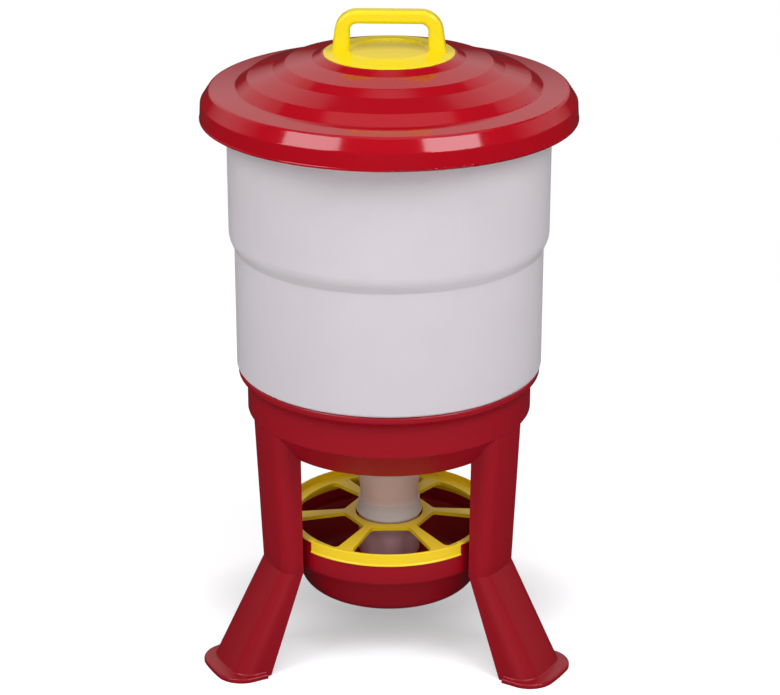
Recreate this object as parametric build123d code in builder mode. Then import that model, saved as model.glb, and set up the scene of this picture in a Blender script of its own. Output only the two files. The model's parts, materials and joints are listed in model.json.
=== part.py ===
from build123d import *
from math import cos, degrees, radians, sin, tan
import os

# Free-standing hopper feeder for poultry. Millimetres, +Z up, the floor at Z = 0 and the
# feeder's axis at X = Y = 0. The front is -Y. Heights are built up from the floor, and radii
# outwards from the tray: pillars, ring, barrel and lid.

# Posts: three legs and three pillars share these directions, seen from above
post_count = 3
rear_azimuth = 90.0

# Legs
leg_height = 114.0
leg_splay = 64.0
leg_foot_depth = 43.0
leg_foot_half_width = 40.0
leg_foot_corner = 24.0
leg_wall = 3.6
leg_rib_wall = 2.6
leg_rib_count = 3
leg_rib_inset = 5.0
tenon_height = 18.0
tenon_wall = 2.6
fit_gap = 0.3

# Feet: a flange with a rolled edge round the open end of each leg
foot_height = 5.0
foot_reach = 11.0
foot_side = 5.0
foot_inset = 6.0
foot_corner = 30.0
foot_edge = 2.2
foot_blend = 2.2

# Pillars
pillar_height = 166.0
pillar_depth = 23.1
pillar_half_width = 34.0
pillar_lean = 8.3
pillar_inner_lean = 1.7
pillar_corner = 15.0
pillar_wall = 3.2
pillar_rib_wall = 2.8
pillar_flush_step = 0.3
pillar_head = 5.0

# Ring on the pillars: skirt, band, cove and the lip that the hopper sits on
skirt_inset = 24.5
skirt_drop = 31.4
skirt_step = 2.2
skirt_step_height = 0.8
skirt_crease = 0.4
band_height = 35.0
band_round = 1.6
cove_height = 8.0
cove_round = 14.0
lip_reach = 9.3
lip_height = 7.0
lip_round = 3.0
lip_seat_width = 11.5
ring_wall = 3.2

# Tray
tray_radius = 120.0
tray_height = 69.0
tray_rim_rise = 23.0
tray_band_height = 24.0
tray_ledge = 7.0
tray_ledge_round = 3.0
tray_base_inset = 25.7
tray_round = 19.5
tray_wall = 2.8
tray_pillar_gap = 3.8
ear_height = 11.5
ear_half_angle = 17.2
cone_radius = 27.0
cone_height = 29.0
cone_tip = 5.0
cone_tip_round = 3.0
cone_foot_round = 6.0
lug_half_width = 17.0
lug_wall = 2.6
lug_gap = 1.2

# Grille
grille_turn = 4.0
grille_rim_height = 13.5
grille_rim_wall = 2.4
grille_rim_round = 0.8
grille_proud = 0.4
grille_hub_round = 1.2
grille_bead = 0.8
grille_bead_height = 2.2
grille_plate = 4.3
grille_plate_drop = 7.0
grille_ring_width = 14.0
grille_hub_gap = 0.7
grille_hub_rise = 4.8
grille_hub_width = 8.0
grille_hub_node_share = 0.75
grille_spoke_count = 6
grille_spoke_inner_width = 9.0
grille_spoke_outer_width = 18.0
grille_window_corner = 5.0
grille_lip_depth = 8.0
grille_lip_wall = 2.0
grille_lip_gap = 0.8

# Hopper
hopper_height = 306.7
hopper_overhang = 1.6
tier_step = 5.8
lower_tier_height = 137.0
tier_blend_height = 13.0
tier_blend = 24.0
tier_crease = 2.0
hopper_wall = 2.8
shoulder_round = 4.0
shoulder_crease = 1.0
spigot_gap = 1.3
spigot_height = 6.0
funnel_slope = 45.0
funnel_round = 4.0
spout_radius = 32.5
spout_round = 75.0
spout_recess = 26.7
rim_reach = 11.8
rim_drop = 7.0
rim_round = 1.0

# Flow regulator: sleeve with a belled mouth, held on the spout by friction
slide_gap = 0.3
regulator_wall = 1.4
regulator_overlap = 36.0
feed_gap = 32.0
mouth_reach = 2.6
mouth_height = 15.0
mouth_flare_height = 9.0
mouth_return_height = 4.0
mouth_round = 1.6
mouth_flare_round = 20.0

# Lid
lid_overhang = 27.8
lid_wall = 2.6
lid_gap = 0.3
lid_skirt = 17.4
skirt_flare = 1.0
lid_bead = 1.7
taper_width = 9.0
taper_drop = 13.6
crown_margin = 1.7
riser_widths = (10.0, 13.0, 12.4)
riser_drops = (4.7, 6.2, 9.7)
upper_tread_width = 28.3
tread_drops = (4.6, 8.5)
ledge_width = 28.0
ledge_drop = 2.2
lid_edge_round = 4.0
locator_depth = 11.0
locator_wall = 2.4
locator_gap = 0.8

# Lid handle
disc_radius = 69.3
disc_edge = 0.9
disc_rise = 3.6
dish_radius = 40.5
dish_depth = 2.5
dish_side = 2.5
bail_half_width = 60.3
bail_height = 46.0
bail_lean = 6.7
bail_bar = 14.0
bail_depth = 17.0
bail_leg = 19.3
bail_outer_corner = 24.0
bail_inner_corner = 8.0
bail_edge = 4.0
plug_depth = 10.0
plug_wall = 2.6
plug_gap = 0.5
hook_reach = 2.4
hook_height = 4.0
hook_half_width = 7.0

# Heights and radii that follow from the sizes above
floor = 0.0
stand_base = floor + leg_height
band_base = stand_base + pillar_height
cove_base = band_base + band_height
lip_base = cove_base + cove_height
ring_top = lip_base + lip_height
skirt_base = band_base - skirt_drop

pillar_inner = tray_radius + tray_pillar_gap
pillar_crest = pillar_inner + pillar_depth
head_inner = pillar_inner + pillar_inner_lean
head_crest = pillar_crest + pillar_lean
band_radius = head_crest + pillar_flush_step
band_bore = band_radius - ring_wall
lip_radius = band_radius + lip_reach
skirt_radius = band_radius - skirt_inset
leg_foot_crest = pillar_crest + leg_splay
leg_foot_inner = leg_foot_crest - leg_foot_depth
tenon_inner = pillar_inner + leg_wall
tenon_crest = pillar_crest - pillar_wall - fit_gap
tenon_half_width = pillar_half_width - pillar_wall - fit_gap
rib_base = stand_base + tenon_height + fit_gap
hollow_inner = pillar_inner - pillar_wall
hollow_half_width = pillar_half_width - pillar_wall
hollow_corner = pillar_corner - pillar_wall

tray_rim = stand_base + tray_rim_rise
tray_base = tray_rim - tray_height
tray_floor = tray_base + tray_wall
tray_band_base = tray_rim - tray_band_height
tray_base_radius = tray_radius - tray_base_inset
ear_top = tray_rim + ear_height

hopper_top = ring_top + hopper_height
lower_radius = lip_radius + hopper_overhang
upper_radius = lower_radius + tier_step
tier_base = ring_top + lower_tier_height
spigot_radius = band_bore - spigot_gap
spigot_base = ring_top - spigot_height
funnel_base = spigot_base - (spigot_radius - spout_radius) * tan(radians(funnel_slope))
regulator_base = tray_floor + feed_gap
spout_base = regulator_base + spout_recess

regulator_bore = spout_radius + slide_gap
regulator_radius = regulator_bore + regulator_wall
regulator_top = spout_base + regulator_overlap
mouth_radius = regulator_radius + mouth_reach
mouth_base = regulator_top - mouth_height

grille_radius = tray_radius + grille_proud
grille_rim_top = tray_rim + grille_rim_height
plate_top = grille_rim_top - grille_plate_drop
hub_top = plate_top + grille_hub_rise
hub_bore = mouth_radius + grille_hub_gap
hub_outer = hub_bore + grille_hub_width
hub_node_radius = hub_bore + grille_hub_node_share * grille_hub_width
plate_outer = grille_radius - grille_rim_wall
plate_inner = plate_outer - grille_ring_width
seat_radius = tray_radius - tray_wall - grille_lip_gap
pocket_inner = tray_radius - tray_wall - fit_gap
pocket_top = ear_top + fit_gap
pocket_half_angle = ear_half_angle + degrees(fit_gap / tray_radius)
step_half_angle = pocket_half_angle + degrees(grille_rim_wall / tray_radius)

lid_radius = upper_radius + lid_overhang
lid_rim_radius = lid_radius - skirt_flare - taper_width
lid_rim = hopper_top + lid_gap + lid_wall
lid_base = lid_rim - taper_drop - lid_skirt
crown_radius = disc_radius + crown_margin
upper_dome_width = sum(riser_widths) + upper_tread_width
lower_tread_width = lid_rim_radius - ledge_width - crown_radius - upper_dome_width
crown_top = lid_rim + ledge_drop + sum(riser_drops) + sum(tread_drops)
lid_hole = dish_radius + plug_wall + plug_gap

os.makedirs("parts", exist_ok=True)


def save(part, name):
    """Label a finished piece and write it to its own file."""
    part.label = name
    export_step(part, "parts/" + name + ".step")


def post_plane(height, azimuth):
    """Level plane at a height whose local X points out along a post."""
    return Plane(
        origin=(0, 0, height),
        x_dir=(cos(radians(azimuth)), sin(radians(azimuth)), 0),
        z_dir=(0, 0, 1),
    )


def post_section(plane, inner, crest, half_width, corner):
    """Level cut of a post: straight flanks, round corners and a crest bowed about the axis."""
    with BuildSketch(plane) as section:
        with Locations(((inner + crest) / 2, 0)):
            Rectangle(crest - inner, 2 * half_width)
        Circle(crest, mode=Mode.INTERSECT)
        fillet(section.vertices().group_by(Axis.X)[-1], corner)
    return section.sketch


def radial_section(azimuth, inner, outer, base, top):
    """Upright rectangle in the half plane at an azimuth, from one radius and height to others."""
    radial_plane = Plane(
        origin=(0, 0, 0),
        x_dir=(cos(radians(azimuth)), sin(radians(azimuth)), 0),
        z_dir=(sin(radians(azimuth)), -cos(radians(azimuth)), 0),
    )
    with BuildSketch(radial_plane) as section:
        with Locations(((inner + outer) / 2, (base + top) / 2)):
            Rectangle(outer - inner, top - base)
    return section.sketch


def rear_first(index):
    """Direction of a post, counted from the rear one."""
    return rear_azimuth + index * 360 / post_count


# Stand: pillars first, then the ring that carries the hopper
with BuildPart() as stand:
    for index in range(post_count):
        azimuth = rear_first(index)
        foot_plane = post_plane(stand_base, azimuth)
        head_plane = post_plane(band_base + pillar_head, azimuth)
        loft(
            [
                post_section(foot_plane, pillar_inner, pillar_crest, pillar_half_width, pillar_corner),
                post_section(head_plane, head_inner, head_crest, pillar_half_width, pillar_corner),
            ],
            ruled=True,
        )
        # The hollow opens towards the axis and stops under the band
        loft(
            [
                post_section(
                    post_plane(stand_base - pillar_wall, azimuth),
                    hollow_inner,
                    pillar_crest - pillar_wall,
                    hollow_half_width,
                    hollow_corner,
                ),
                post_section(
                    post_plane(band_base, azimuth),
                    hollow_inner,
                    head_crest - pillar_wall,
                    hollow_half_width,
                    hollow_corner,
                ),
            ],
            ruled=True,
            mode=Mode.SUBTRACT,
        )
        # Stop rib above the leg's tenon and the tray's lug
        extrude(
            post_section(
                post_plane(rib_base, azimuth),
                pillar_inner + pillar_wall,
                pillar_crest - pillar_wall / 2,
                pillar_half_width - pillar_wall / 2,
                hollow_corner,
            ),
            amount=pillar_rib_wall,
        )
    with BuildSketch(Plane.XZ):
        with BuildLine():
            FilletPolyline(
                (skirt_radius, skirt_base),
                (band_radius - skirt_step, band_base - skirt_step_height),
                (band_radius, band_base),
                (band_radius, cove_base),
                (lip_radius, lip_base),
                (lip_radius, ring_top),
                (lip_radius - lip_seat_width, ring_top),
                radius=[skirt_crease, band_round, cove_round, lip_round, lip_round],
            )
            offset(amount=ring_wall, side=Side.LEFT)
        make_face()
    revolve(axis=Axis.Z)
save(stand.part, "stand")


def outward(edge):
    """Distance of an edge's centre from the feeder's axis."""
    return Vector(edge.center().X, edge.center().Y, 0).length


# Legs: splayed shells that plug into the pillars from below
leg_names = ("leg_rear", "leg_front_left", "leg_front_right")
for index, name in enumerate(leg_names):
    azimuth = rear_first(index)
    top_plane = post_plane(stand_base, azimuth)
    floor_plane = post_plane(floor, azimuth)
    with BuildPart() as leg:
        extrude(
            post_section(
                floor_plane,
                leg_foot_inner + foot_inset,
                leg_foot_crest + foot_reach,
                leg_foot_half_width + foot_side,
                foot_corner,
            ),
            amount=foot_height,
        )
        foot_top = leg.faces().sort_by(Axis.Z)[-1]
        fillet(foot_top.edges().sort_by(outward)[1:], foot_edge)
        loft(
            [
                post_section(
                    floor_plane, leg_foot_inner, leg_foot_crest, leg_foot_half_width, leg_foot_corner
                ),
                post_section(top_plane, pillar_inner, pillar_crest, pillar_half_width, pillar_corner),
            ],
            ruled=True,
        )
        joint_edges = leg.edges(Select.NEW).filter_by_position(Axis.Z, foot_height, foot_height)
        fillet(joint_edges, foot_blend)
        loft(
            [
                post_section(
                    floor_plane,
                    leg_foot_inner - leg_foot_depth,
                    leg_foot_crest - leg_wall,
                    leg_foot_half_width - leg_wall,
                    leg_foot_corner - leg_wall,
                ),
                post_section(
                    top_plane,
                    pillar_inner - leg_foot_depth,
                    pillar_crest - leg_wall,
                    pillar_half_width - leg_wall,
                    pillar_corner - leg_wall,
                ),
            ],
            ruled=True,
            mode=Mode.SUBTRACT,
        )
        # Web that closes the top, and the tenon that stands on it
        extrude(
            post_section(
                post_plane(stand_base - leg_rib_wall, azimuth),
                pillar_inner + leg_wall,
                pillar_crest - leg_wall / 2,
                pillar_half_width - leg_wall / 2,
                pillar_corner - leg_wall,
            ),
            amount=leg_rib_wall,
        )
        tenon_plane = post_plane(stand_base - leg_rib_wall / 2, azimuth)
        with BuildSketch(tenon_plane):
            add(post_section(Plane.XY, tenon_inner, tenon_crest, tenon_half_width, hollow_corner))
            add(
                post_section(
                    Plane.XY,
                    tenon_inner - tenon_wall,
                    tenon_crest - tenon_wall,
                    tenon_half_width - tenon_wall,
                    hollow_corner - tenon_wall,
                ),
                mode=Mode.SUBTRACT,
            )
        extrude(amount=tenon_height + leg_rib_wall / 2)
        # Level ribs across the hollow
        for rib in range(1, leg_rib_count + 1):
            share = rib / (leg_rib_count + 1)
            rib_crest = leg_foot_crest - share * leg_splay
            rib_inner = leg_foot_inner + share * (pillar_inner - leg_foot_inner)
            rib_half_width = leg_foot_half_width + share * (pillar_half_width - leg_foot_half_width)
            rib_corner = leg_foot_corner + share * (pillar_corner - leg_foot_corner)
            extrude(
                post_section(
                    post_plane(share * leg_height, azimuth),
                    rib_inner + leg_rib_inset,
                    rib_crest - leg_wall,
                    rib_half_width - leg_wall / 2,
                    rib_corner - leg_wall / 2,
                ),
                amount=leg_rib_wall,
            )
    save(leg.part, name)


# Tray: two-step pan with a spreading cone, lugs that lie on the legs inside the pillars, and an
# ear in front of each pillar that the grille's rim fits behind
with BuildPart() as tray:
    lug_reach = tenon_crest - tenon_wall - lug_gap
    for index in range(post_count):
        lug_plane = post_plane(stand_base, rear_first(index))
        lug_start = tray_radius - tray_wall / 2
        with BuildSketch(lug_plane):
            with Locations(((lug_start + lug_reach) / 2, 0)):
                Rectangle(lug_reach - lug_start, 2 * lug_half_width)
        extrude(amount=tenon_height)
        pocket_start = tray_radius + lug_wall
        with BuildSketch(post_plane(stand_base + lug_wall, rear_first(index))):
            with Locations(((pocket_start + lug_reach - lug_wall) / 2, 0)):
                Rectangle(lug_reach - lug_wall - pocket_start, 2 * (lug_half_width - lug_wall))
        extrude(amount=tenon_height, mode=Mode.SUBTRACT)
    with BuildSketch(Plane.XZ):
        with BuildLine():
            FilletPolyline(
                (0, tray_base + cone_height),
                (cone_tip, tray_base + cone_height),
                (cone_radius, tray_base),
                (tray_base_radius, tray_base),
                (tray_radius - tray_ledge, tray_band_base),
                (tray_radius, tray_band_base),
                (tray_radius, ear_top),
                radius=[
                    cone_tip_round,
                    cone_foot_round,
                    tray_round,
                    tray_ledge_round,
                    tray_ledge_round,
                ],
            )
            offset(amount=tray_wall, side=Side.LEFT)
        make_face()
    revolve(axis=Axis.Z)
    # Between the ears the wall is cut down to the rim
    for index in range(post_count):
        revolve(
            radial_section(
                rear_first(index) + ear_half_angle,
                tray_radius - 2 * tray_wall,
                tray_radius + tray_wall,
                tray_rim,
                ear_top + tray_wall,
            ),
            axis=Axis.Z,
            revolution_arc=360 / post_count - 2 * ear_half_angle,
            mode=Mode.SUBTRACT,
        )
save(tray.part, "tray")


# Grille: rim wall, locating lip, ring, spokes and hub as one moulding, with a window between
# spokes. The lip drops inside the tray's rim
with BuildPart() as grille:
    with BuildSketch(Plane.XZ):
        with BuildLine():
            FilletPolyline(
                (hub_bore, hub_top - grille_plate),
                (hub_bore, hub_top),
                (hub_outer, hub_top),
                (plate_inner, plate_top),
                (plate_outer, plate_top),
                (plate_outer, grille_rim_top),
                (grille_radius, grille_rim_top),
                (grille_radius, tray_rim + grille_bead_height),
                radius=[
                    grille_rim_round,
                    grille_hub_round,
                    grille_hub_round,
                    grille_rim_round,
                    grille_rim_round,
                    grille_rim_round,
                ],
            )
            Polyline(
                (grille_radius, tray_rim + grille_bead_height),
                (grille_radius + grille_bead, tray_rim + grille_bead_height / 2),
                (grille_radius + grille_bead, tray_rim),
                (seat_radius, tray_rim),
                (seat_radius, tray_rim - grille_lip_depth),
                (seat_radius - grille_lip_wall, tray_rim - grille_lip_depth),
                (seat_radius - grille_lip_wall, tray_rim),
                (plate_inner, plate_top - grille_plate),
                (hub_outer, hub_top - grille_plate),
                (hub_bore, hub_top - grille_plate),
            )
        make_face()
    revolve(axis=Axis.Z)
    with BuildSketch(Plane.XY.offset(tray_rim)) as windows:
        half_pitch = radians(180 / grille_spoke_count)
        inner_x = hub_outer
        inner_y = inner_x * tan(half_pitch) - grille_spoke_inner_width / 2 / cos(half_pitch)
        outer_y = plate_inner * sin(half_pitch) - grille_spoke_outer_width / 2 * cos(half_pitch)
        outer_x = plate_inner * cos(half_pitch) + grille_spoke_outer_width / 2 * sin(half_pitch)
        with BuildLine():
            Polyline((outer_x, outer_y), (inner_x, inner_y), (inner_x, -inner_y), (outer_x, -outer_y))
            ThreePointArc((outer_x, -outer_y), (plate_inner, 0), (outer_x, outer_y))
        make_face()
        fillet(windows.vertices(), grille_window_corner)
    first_window = rear_azimuth + grille_turn
    window_face = windows.sketch
    for index in range(grille_spoke_count):
        turned = window_face.rotate(Axis.Z, first_window + index * 360 / grille_spoke_count)
        extrude(
            turned.moved(Location((0, 0, -grille_lip_depth))),
            amount=grille_rim_height + 2 * grille_lip_depth,
            mode=Mode.SUBTRACT,
        )
    # Behind each ear of the tray the rim steps inwards, and a thin flange goes on over the ear
    for index in range(post_count):
        revolve(
            radial_section(
                rear_first(index) - step_half_angle,
                pocket_inner - grille_rim_wall,
                plate_outer + grille_rim_wall / 2,
                plate_top - grille_rim_wall,
                grille_rim_top,
            ),
            axis=Axis.Z,
            revolution_arc=2 * step_half_angle,
        )
        revolve(
            radial_section(
                rear_first(index) - pocket_half_angle,
                pocket_inner,
                pillar_inner,
                tray_rim - grille_rim_wall,
                pocket_top,
            ),
            axis=Axis.Z,
            revolution_arc=2 * pocket_half_angle,
            mode=Mode.SUBTRACT,
        )

# The same moulding in two nodes: the ring round the hub's bore, and all that lies outside it
with BuildPart() as grille_hub:
    add(grille.part)
    with Locations((0, 0, hub_top)):
        Cylinder(hub_node_radius, 2 * grille_rim_height, mode=Mode.INTERSECT)
save(grille_hub.part, "grille_hub")
with BuildPart() as grille_frame:
    add(grille.part)
    with Locations((0, 0, hub_top)):
        Cylinder(hub_node_radius, 2 * grille_rim_height, mode=Mode.SUBTRACT)
save(grille_frame.part, "grille")


# Hopper: two-tier barrel, funnel and spout in one wall
with BuildPart() as hopper:
    with BuildSketch(Plane.XZ):
        with BuildLine():
            FilletPolyline(
                (upper_radius + rim_reach - hopper_wall, hopper_top - rim_drop),
                (upper_radius + rim_reach - hopper_wall, hopper_top - hopper_wall),
                (upper_radius, hopper_top - hopper_wall),
                (upper_radius, tier_base + tier_blend_height),
                (lower_radius, tier_base),
                (lower_radius, ring_top),
                (spigot_radius, ring_top),
                (spigot_radius, spigot_base),
                (spout_radius, funnel_base),
                (spout_radius, spout_base),
                radius=[
                    rim_round,
                    rim_round,
                    tier_blend,
                    tier_crease,
                    shoulder_round,
                    shoulder_crease,
                    funnel_round,
                    spout_round,
                ],
            )
            offset(amount=hopper_wall, side=Side.RIGHT)
        make_face()
    revolve(axis=Axis.Z)

# The same moulding in two nodes: the spout, and the barrel with its funnel
with BuildPart() as spout:
    add(hopper.part)
    split(bisect_by=Plane.XY.offset(funnel_base), keep=Keep.BOTTOM)
save(spout.part, "spout")
with BuildPart() as barrel:
    add(hopper.part)
    split(bisect_by=Plane.XY.offset(funnel_base), keep=Keep.TOP)
save(barrel.part, "hopper")


# Flow regulator: sleeve with a belled mouth that slides on the spout
with BuildPart() as flow_regulator:
    with BuildSketch(Plane.XZ):
        with BuildLine():
            FilletPolyline(
                (regulator_radius, regulator_base),
                (regulator_radius, mouth_base - mouth_return_height),
                (mouth_radius, mouth_base),
                (regulator_radius, mouth_base + mouth_flare_height),
                (regulator_radius, regulator_top),
                radius=[mouth_round, mouth_round, mouth_flare_round],
            )
            offset(amount=regulator_wall, side=Side.LEFT)
        make_face()
    revolve(axis=Axis.Z)
save(flow_regulator.part, "flow_regulator")


# Lid: stepped dome with a tapered edge and a deep skirt
with BuildPart() as lid:
    radius = crown_radius
    height = crown_top
    dome = [(lid_hole, height), (radius, height)]
    for width, drop in (
        (riser_widths[0], riser_drops[0]),
        (upper_tread_width, tread_drops[0]),
        (riser_widths[1], riser_drops[1]),
        (lower_tread_width, tread_drops[1]),
        (riser_widths[2], riser_drops[2]),
    ):
        radius += width
        height -= drop
        dome.append((radius, height))
    with BuildSketch(Plane.XZ):
        with BuildLine():
            FilletPolyline(
                *dome,
                (lid_rim_radius, lid_rim),
                (lid_radius - skirt_flare, lid_rim - taper_drop),
                (lid_radius, lid_base),
                radius=lid_edge_round,
            )
            offset(amount=lid_wall, side=Side.RIGHT)
        make_face()
        # Rolled bead along the skirt's lower edge
        with Locations((lid_radius - lid_wall / 2, lid_base)):
            Circle(lid_bead)
    revolve(axis=Axis.Z)
    # Ring that drops inside the hopper's mouth and keeps the lid central
    with BuildSketch(Plane.XY.offset(hopper_top - locator_depth)):
        locator_radius = upper_radius - hopper_wall - locator_gap
        Circle(locator_radius)
        Circle(locator_radius - locator_wall, mode=Mode.SUBTRACT)
    extrude(amount=locator_depth + lid_gap + lid_wall)
save(lid.part, "lid")


# Lid handle: a rigid bail on a disc with a dished centre, and a plug that snaps into the lid
with BuildPart() as lid_handle:
    disc_top = crown_top + disc_edge + disc_rise
    bail_base = crown_top + disc_edge / 2
    bail_top = crown_top + bail_height
    with BuildSketch(Plane.XZ.offset(-bail_depth / 2)):
        with BuildLine():
            FilletPolyline(
                (-bail_half_width, bail_base),
                (-bail_half_width + bail_lean, bail_top),
                (bail_half_width - bail_lean, bail_top),
                (bail_half_width, bail_base),
                radius=bail_outer_corner,
            )
            FilletPolyline(
                (bail_half_width, bail_base),
                (bail_half_width - bail_leg, bail_base),
                (bail_half_width - bail_leg, bail_top - bail_bar),
                (-bail_half_width + bail_leg, bail_top - bail_bar),
                (-bail_half_width + bail_leg, bail_base),
                (-bail_half_width, bail_base),
                radius=[0, bail_inner_corner, bail_inner_corner, 0],
            )
        make_face()
    extrude(amount=bail_depth)
    faces_front_and_back = lid_handle.faces().filter_by(Axis.Y)
    fillet(faces_front_and_back.edges().filter_by_position(Axis.Z, disc_top, bail_top), bail_edge)
    with BuildSketch(Plane.XZ):
        with BuildLine():
            Polyline(
                (0, crown_top),
                (disc_radius, crown_top),
                (disc_radius, crown_top + disc_edge / 2),
                (disc_radius - disc_edge / 2, crown_top + disc_edge),
                (dish_radius + dish_side, disc_top),
                (dish_radius, disc_top - dish_depth),
                (0, disc_top - dish_depth),
                close=True,
            )
        make_face()
    revolve(axis=Axis.Z)
    # Plug ring and its three hooks, which snap under the lid's crown
    with BuildSketch(Plane.XY.offset(crown_top - plug_depth)):
        Circle(dish_radius + plug_wall)
        Circle(dish_radius, mode=Mode.SUBTRACT)
    extrude(amount=plug_depth)
    with BuildSketch(Plane.XY.offset(crown_top - lid_wall - lid_gap - hook_height)):
        with PolarLocations(dish_radius + plug_wall, post_count, start_angle=rear_azimuth):
            Rectangle(2 * hook_reach, 2 * hook_half_width)
        Circle(dish_radius, mode=Mode.SUBTRACT)
    extrude(amount=hook_height)
save(lid_handle.part, "lid_handle")
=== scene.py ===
"""Hopper feeder: finishes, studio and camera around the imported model. Metres, +Z up, front -Y."""

import json
from math import cos, radians, sin

import bpy
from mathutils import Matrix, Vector

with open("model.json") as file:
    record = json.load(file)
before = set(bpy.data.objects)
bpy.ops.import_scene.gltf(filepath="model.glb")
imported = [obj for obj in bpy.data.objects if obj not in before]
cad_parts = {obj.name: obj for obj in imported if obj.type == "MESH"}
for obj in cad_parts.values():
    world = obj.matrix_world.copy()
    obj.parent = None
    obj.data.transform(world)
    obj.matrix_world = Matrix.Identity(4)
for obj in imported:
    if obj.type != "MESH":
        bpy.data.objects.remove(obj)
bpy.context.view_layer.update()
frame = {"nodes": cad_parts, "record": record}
nodes = frame["nodes"]

# Camera, from the photograph
look_at = Vector((0, 0, 0.344))
camera_distance = 2.70
camera_elevation = 21.48
camera_azimuth = 2.2
camera_lens = 113.8
camera_sensor = 36
camera_shift = 0.00115

# Lamps
lamp_target = Vector((0, 0, 0.62))
lamp_colour = (0.95, 0.94, 1.0)
lamp_distance = 1.7
fill_distance = 2.6


def toward(azimuth, elevation):
    """Direction out from the feeder. Azimuth is measured from the camera, positive to the right."""
    turn = radians(camera_azimuth + azimuth)
    rise = radians(elevation)
    return Vector((sin(turn) * cos(rise), -cos(turn) * cos(rise), sin(rise)))


def aim(obj, place, target):
    """Put a lamp or camera at a place and turn it to a target."""
    obj.location = place
    obj.rotation_euler = (target - place).to_track_quat("-Z", "Y").to_euler()


camera_data = bpy.data.cameras.new("camera")
camera_data.sensor_fit = "HORIZONTAL"
camera_data.sensor_width = camera_sensor
camera_data.lens = camera_lens
camera_data.shift_x = camera_shift
camera = bpy.data.objects.new("camera", camera_data)
bpy.context.scene.collection.objects.link(camera)
bpy.context.scene.camera = camera
aim(camera, look_at + camera_distance * toward(0, camera_elevation), look_at)


def softbox(name, azimuth, elevation, size, energy, distance=lamp_distance, glossy=True):
    """Rectangular area lamp, given its width and height, that faces the lid."""
    data = bpy.data.lights.new(name, "AREA")
    data.shape = "RECTANGLE"
    data.size, data.size_y = size
    data.energy = energy
    data.color = lamp_colour
    lamp = bpy.data.objects.new(name, data)
    bpy.context.scene.collection.objects.link(lamp)
    aim(lamp, lamp_target + distance * toward(azimuth, elevation), lamp_target)
    lamp.visible_glossy = glossy


softbox("softbox_left", -53, 36, size=(0.86, 0.8), energy=13)
softbox("softbox_right", 43, 36, size=(0.85, 0.8), energy=15)
softbox("key", 0, 62, size=(0.9, 0.6), energy=5, glossy=False)
softbox("front_fill", 0, 4, size=(2.0, 1.6), energy=17, distance=fill_distance, glossy=False)


class Graph:
    """A node tree that is built one node at a time. An input is a value or another node's output."""

    def __init__(self, tree):
        self.tree = tree
        tree.nodes.clear()

    def add(self, kind, inputs=(), **settings):
        node = self.tree.nodes.new(kind)
        for name, value in settings.items():
            setattr(node, name, value)
        for key, value in dict(inputs).items():
            if isinstance(value, bpy.types.NodeSocket):
                self.tree.links.new(value, node.inputs[key])
            else:
                node.inputs[key].default_value = value
        return node


# World: white to the camera, a studio to reflections, an even level to everything else
ambient = 0.58
wall_level = 0.58
wall_bottom = (0.1, 0.3)
wall_top = (0.695, 0.715)
wall_fade = (0.56, 0.7)
wall_fade_least = 0.5
wall_turn = (0.0, 0.3)
ceiling_level = 0.58
ceiling_edge = (0.89, 0.92)
dark_level = 0.03
white_level = 1.0
white = (1, 1, 1, 1)

# Sockets of a Mix node, for numbers and for colours
mix_factor = 0
mix_numbers = (2, 3)
mix_colours = (6, 7)
mixed_number = 0
mixed_colour = 2


def studio_world():
    world = bpy.data.worlds.new("studio")
    world.use_nodes = True
    graph = Graph(world.node_tree)
    path = graph.add("ShaderNodeLightPath")
    ray = graph.add("ShaderNodeTexCoord")
    split = graph.add("ShaderNodeSeparateXYZ", {0: ray.outputs["Generated"]})

    def ramp(axis, start, end, least=0.0):
        edges = {"Value": split.outputs[axis], "From Min": start, "From Max": end, "To Min": least}
        return graph.add("ShaderNodeMapRange", edges).outputs[0]

    def multiply(first, second, more=0.0):
        values = {0: first, 1: second, 2: more}
        return graph.add("ShaderNodeMath", values, operation="MULTIPLY_ADD").outputs[0]

    def choose(ray_kind, otherwise, chosen):
        inputs = {
            mix_factor: path.outputs[ray_kind],
            mix_numbers[0]: otherwise,
            mix_numbers[1]: chosen,
        }
        return graph.add("ShaderNodeMix", inputs, data_type="FLOAT").outputs[mixed_number]

    # Bright wall behind the feeder, dimmer and then cut off at its top, and a panel overhead
    wall = multiply(ramp("Z", *wall_bottom), ramp("Z", *reversed(wall_top)))
    wall = multiply(wall, ramp("Z", *reversed(wall_fade), least=wall_fade_least))
    wall = multiply(wall, ramp("Y", *wall_turn))
    wall = multiply(wall, wall_level, dark_level)
    glossy = multiply(ramp("Z", *ceiling_edge), ceiling_level, wall)
    level = choose("Is Glossy Ray", ambient, glossy)
    level = choose("Is Camera Ray", level, white_level)
    sky = graph.add("ShaderNodeBackground", {"Color": white, "Strength": level})
    graph.add("ShaderNodeOutputWorld", {"Surface": sky.outputs[0]})
    bpy.context.scene.world = world


studio_world()


def linear(red, green, blue):
    """Linear colour from screen values of 0 to 255."""
    values = [v / 255 for v in (red, green, blue)]
    return [v / 12.92 if v <= 0.04045 else ((v + 0.055) / 1.055) ** 2.4 for v in values] + [1]


# Moulded plastic: what all its colours share
flow_scale = 9.0
flow_detail = 3.0
flow_shades = (0.94, 1.06)
grain_detail = 4.0
gloss_spread = (0.85, 1.15)
relief_depth = 0.0004
refraction = 1.49
scatter_radius = (0.03, 0.03, 0.03)
scatter_scale = 1.0


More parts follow.
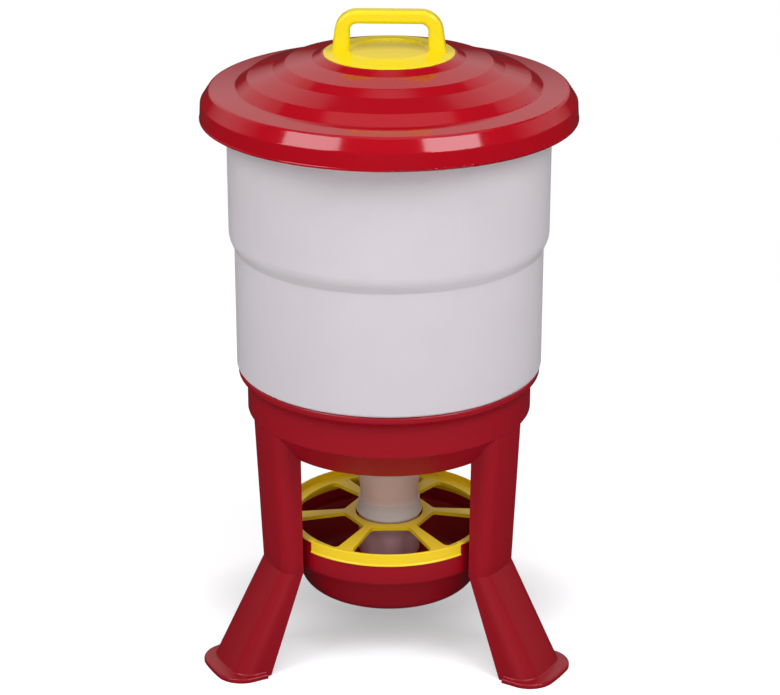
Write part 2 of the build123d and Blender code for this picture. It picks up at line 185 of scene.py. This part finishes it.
def plastic(name, colour, roughness, grain, bump, subsurface=0.0, painted_levels=()):
    """Moulded plastic: faint flow shading, fine surface grain and uneven gloss.

    Painted levels are pairs of a height and a colour, for painted light and shade that change with
    height over the piece.
    """
    material = bpy.data.materials.new(name)
    material.use_nodes = True
    graph = Graph(material.node_tree)
    place = graph.add("ShaderNodeTexCoord").outputs["Object"]
    base = colour
    # Painted light and shade by height, as a colour ramp over the object's Z
    if painted_levels:
        split = graph.add("ShaderNodeSeparateXYZ", {0: place})
        tone = graph.add("ShaderNodeValToRGB", {0: split.outputs["Z"]})
        stops = tone.color_ramp.elements
        stops[0].position, stops[0].color = painted_levels[0]
        stops[1].position, stops[1].color = painted_levels[-1]
        for height, level_colour in painted_levels[1:-1]:
            stops.new(height).color = level_colour
        base = tone.outputs[0]
    flow = graph.add(
        "ShaderNodeTexNoise", {"Vector": place, "Scale": flow_scale, "Detail": flow_detail}
    )
    shade = graph.add(
        "ShaderNodeMapRange",
        {"Value": flow.outputs["Fac"], "To Min": flow_shades[0], "To Max": flow_shades[1]},
    )
    tint = graph.add(
        "ShaderNodeMix",
        {mix_factor: 1.0, mix_colours[0]: base, mix_colours[1]: shade.outputs[0]},
        data_type="RGBA",
        blend_type="MULTIPLY",
    )
    fine = graph.add(
        "ShaderNodeTexNoise", {"Vector": place, "Scale": grain, "Detail": grain_detail}
    )
    least, most = (roughness * share for share in gloss_spread)
    gloss = graph.add(
        "ShaderNodeMapRange", {"Value": fine.outputs["Fac"], "To Min": least, "To Max": most}
    )
    relief = graph.add(
        "ShaderNodeBump",
        {"Height": fine.outputs["Fac"], "Strength": bump, "Distance": relief_depth},
    )
    shader = graph.add(
        "ShaderNodeBsdfPrincipled",
        {
            "Base Color": tint.outputs[mixed_colour],
            "Roughness": gloss.outputs[0],
            "Normal": relief.outputs[0],
            "IOR": refraction,
            "Subsurface Weight": subsurface,
            "Subsurface Radius": scatter_radius,
            "Subsurface Scale": scatter_scale,
        },
    )
    graph.add("ShaderNodeOutputMaterial", {"Surface": shader.outputs[0]})
    return material


# Painted bounced light from the red and yellow pieces round the spout, more so below the grille, a
# painted brighter band at its mouth, and a painted pink reflection of the lid on the rim
milky_white = linear(234, 225, 229)
milky_painted_light_levels = (
    (0.138, linear(255, 190, 192)),
    (0.145, linear(255, 240, 236)),
    (0.163, linear(255, 240, 236)),
    (0.17, linear(252, 204, 186)),
    (0.26, linear(252, 204, 186)),
    (0.3, milky_white),
    (0.585, milky_white),
    (0.612, linear(255, 238, 241)),
)

# Painted shade: the legs, of the same red plastic, are coloured a shade deeper than the pillars and
# the ring
stand_red = linear(151, 5, 25)
leg_painted_shade_red = linear(141, 4, 22)
stand_painted_shade_levels = ((0.0, leg_painted_shade_red), (0.11, leg_painted_shade_red), (0.13, stand_red))

finishes = {
    "lid_red": plastic("lid_red", linear(155, 7, 22), roughness=0.1, grain=90, bump=0.05),
    "stand_red": plastic(
        "stand_red", stand_red, roughness=0.3, grain=400, bump=0.2, painted_levels=stand_painted_shade_levels
    ),
    "yellow": plastic("yellow", linear(222, 199, 3), roughness=0.3, grain=300, bump=0.1),
    "milky": plastic(
        "milky",
        milky_white,
        roughness=0.42,
        grain=200,
        bump=0.1,
        subsurface=0.6,
        painted_levels=milky_painted_light_levels,
    ),
}

# The grille and its hub are one moulding, in a warmer yellow than the lid's handle
grille_yellow = plastic(
    "grille_yellow", linear(238, 203, 24), roughness=0.34, grain=300, bump=0.12
)
node_finishes = {"grille": grille_yellow, "grille_hub": grille_yellow}
for part in frame["record"]["subparts"]:
    obj = nodes[part["node"]]
    obj.data.materials.clear()
    finish = node_finishes.get(part["node"], finishes[part["material_slot"]])
    obj.data.materials.append(finish)


# Floor, with a painted shadow behind the tray, over the shadows that the lamps cast on it
floor_radius = 1.3
floor_sides = 128
painted_shadow_half_sizes = (0.2, 0.12)
painted_shadow_centre = 0.085
painted_shadow_edge = (0.45, 1.15)
painted_shadow_tone, painted_shadow_glow = 0.38, 0.33
open_tone, open_glow = 0.82, 0.38
bounce_tone = 0.55
mirrored_tone = 0.03
painted_shadow_scale = (1 / painted_shadow_half_sizes[0], 1 / painted_shadow_half_sizes[1], 1)
painted_shadow_offset = (0, -painted_shadow_centre / painted_shadow_half_sizes[1], 0)


def floor():
    bpy.ops.mesh.primitive_circle_add(
        vertices=floor_sides, radius=floor_radius, fill_type="NGON"
    )
    obj = bpy.context.object
    obj.name = "floor"
    material = bpy.data.materials.new("floor")
    material.use_nodes = True
    graph = Graph(material.node_tree)
    path = graph.add("ShaderNodeLightPath")

    def diffuse(tone):
        return graph.add("ShaderNodeBsdfDiffuse", {"Color": (tone, tone, tone, 1)}).outputs[0]

    def glowing(tone, level):
        glow = graph.add("ShaderNodeEmission", {"Color": white, "Strength": level})
        both = graph.add("ShaderNodeAddShader", {0: diffuse(tone), 1: glow.outputs[0]})
        return both.outputs[0]

    def blend(factor, first, second):
        inputs = {0: factor, 1: first, 2: second}
        return graph.add("ShaderNodeMixShader", inputs).outputs[0]

    # Distance from the painted shadow's middle, in half sizes of its ellipse
    place = graph.add("ShaderNodeTexCoord")
    spread = graph.add(
        "ShaderNodeMapping",
        {0: place.outputs["Object"], "Location": painted_shadow_offset, "Scale": painted_shadow_scale},
    )
    reach = graph.add("ShaderNodeVectorMath", {0: spread.outputs[0]}, operation="LENGTH")
    edge = graph.add(
        "ShaderNodeMapRange",
        {"Value": reach.outputs["Value"], "From Min": painted_shadow_edge[0], "From Max": painted_shadow_edge[1]},
    )
    # Painted shadow: a darker tone and less glow inside the ellipse, blending out to the open floor
    painted_shadow = glowing(painted_shadow_tone, painted_shadow_glow)
    seen = blend(edge.outputs[0], painted_shadow, glowing(open_tone, open_glow))
    surface = blend(path.outputs["Is Camera Ray"], diffuse(bounce_tone), seen)
    surface = blend(path.outputs["Is Glossy Ray"], surface, diffuse(mirrored_tone))
    graph.add("ShaderNodeOutputMaterial", {"Surface": surface})
    obj.data.materials.append(material)


floor()

bpy.context.scene.view_settings.view_transform = "Standard"
